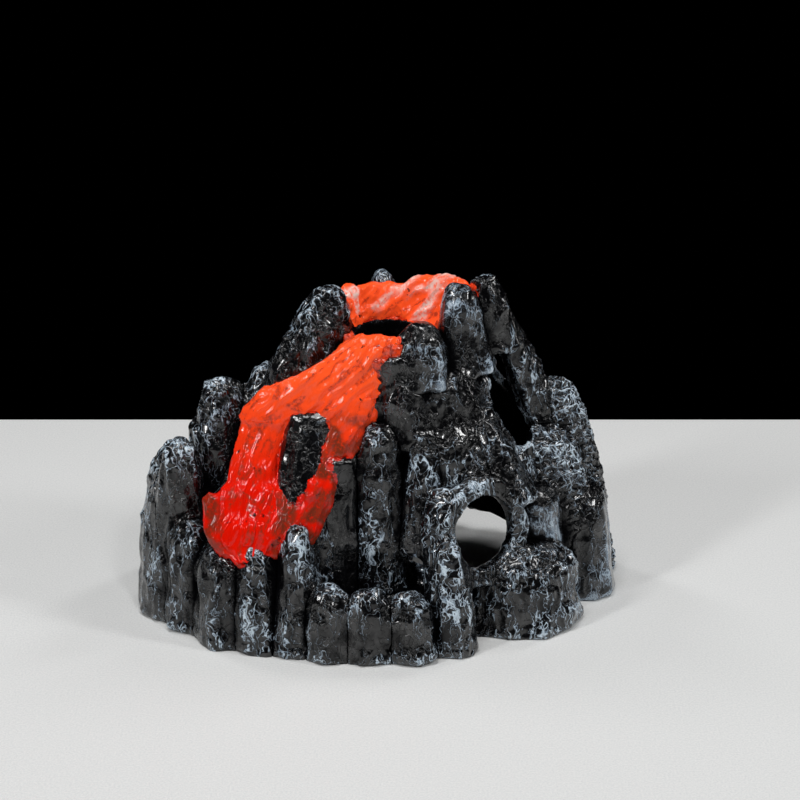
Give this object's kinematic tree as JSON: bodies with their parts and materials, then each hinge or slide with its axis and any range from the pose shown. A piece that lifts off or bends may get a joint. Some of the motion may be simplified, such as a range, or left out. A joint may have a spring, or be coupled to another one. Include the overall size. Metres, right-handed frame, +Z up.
{
  "type": "resin cave ornament",
  "caption": "Hollow volcano-shaped aquarium cave: bonded rock columns round a thin shell, crater hole, round cave mouth, low rear arch and glossy lava run.",
  "frame": {"origin": "on the floor, under the middle of the footprint's box", "axes": "+X to the right seen from the front, -Y towards the front with the lava and the basin, +Z up"},
  "size_m": [0.146, 0.0933, 0.0985],
  "materials": {
    "stone": "black resin with a gloss coat, crumpled like foil, dry-brushed pale blue-white on its raised edges",
    "core_resin": "plain black resin",
    "lava": "glossy red resin, orange-red high up, streaked with black and pale glints along the flow"
  },
  "bodies": {
    "root": {"wall_right_rear": "core_resin", "wall_left_rear": "core_resin", "wall_left_front": "core_resin", "wall_right_front": "core_resin", "crater_cap": "core_resin", "crater_ring": "core_resin", "cave_collar": "stone", "basin_floor": "core_resin", "lava_rim": "lava", "lava_chute": "lava", "lava_left_stream": "lava", "lava_right_stream": "lava", "lava_pool": "lava", "left_end_stone": "stone", "rim_far_left_stone": "stone", "rim_left_stone": "stone", "rim_notch_stone": "stone", "rim_tall_stone": "stone", "rim_low_left_stone": "stone", "rim_low_middle_stone": "stone", "rim_low_right_stone": "stone", "rim_leaning_stone": "stone", "cave_step_stone": "stone", "left_round_stone": "stone", "left_tall_stone": "stone", "left_cap_stone": "stone", "left_shoulder_stone": "stone", "basin_dark_stone": "stone", "basin_broad_stone": "stone", "basin_pointed_stone": "stone", "lava_split_stone": "stone", "upper_face_stone": "stone", "vent_ridge_high_stone": "stone", "vent_ridge_low_stone": "stone", "cave_brow_stone": "stone", "upper_side_stone": "stone", "cave_cheek_stone": "stone", "cave_side_stone": "stone", "scaly_slope_stone": "stone", "right_buttress_stone": "stone", "right_ridge_low_stone": "stone", "right_ridge_middle_stone": "stone", "right_ridge_high_stone": "stone", "left_spire_stone": "stone", "spire_foot_stone": "stone", "rear_rock_stone": "stone", "face_boulder_stone": "stone", "crater_slab_stone": "stone", "crater_peak_stone": "stone", "back_left_end_stone": "stone", "back_left_stone": "stone", "back_low_left_stone": "stone", "arch_foot_left_stone": "stone", "arch_over_left_stone": "stone", "arch_over_middle_stone": "stone", "arch_over_right_stone": "stone", "arch_end_right_stone": "stone", "back_low_right_stone": "stone", "back_tall_left_stone": "stone", "back_tall_right_stone": "stone"}
  },
  "joints": []
}
